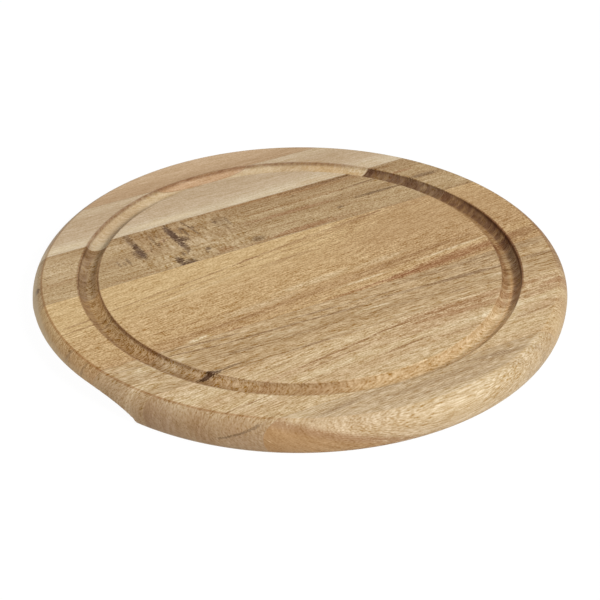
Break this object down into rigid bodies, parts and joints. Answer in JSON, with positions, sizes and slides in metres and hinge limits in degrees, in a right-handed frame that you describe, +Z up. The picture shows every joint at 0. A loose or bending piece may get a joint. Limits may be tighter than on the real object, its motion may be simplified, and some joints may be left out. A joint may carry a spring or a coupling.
{
  "type": "round serving board",
  "caption": "Round serving board glued up from light hardwood staves, with a juice groove inside its soft rounded rim and finger scoops under opposite ends of the grain.",
  "frame": {"origin": "centre of the underside, on the surface that the board lies on", "axes": "+Z up through the serving face, +X along the grain from scoop to scoop, +Y towards the back edge stave"},
  "size_m": [0.2998, 0.3, 0.02],
  "materials": {
    "wood_front_edge": "oiled, cream to golden brown",
    "wood_front": "oiled, pale tan",
    "wood_inner_front": "oiled, tan with thin grey-brown streaks",
    "wood_heart": "oiled, golden yellow",
    "wood_knotty": "oiled, grey-brown with dark knot figure",
    "wood_cream": "oiled, cream",
    "wood_back_edge": "oiled, pinkish tan",
    "glue": "cured wood glue, sanded flush"
  },
  "bodies": {
    "root": {"front_edge_stave": "wood_front_edge", "front_stave": "wood_front", "inner_front_stave": "wood_inner_front", "heart_stave": "wood_heart", "knotty_stave": "wood_knotty", "cream_stave": "wood_cream", "back_edge_stave": "wood_back_edge", "glue_line_1": "glue", "glue_line_2": "glue", "glue_line_3": "glue", "glue_line_4": "glue", "glue_line_5": "glue", "glue_line_6": "glue"}
  },
  "joints": []
}
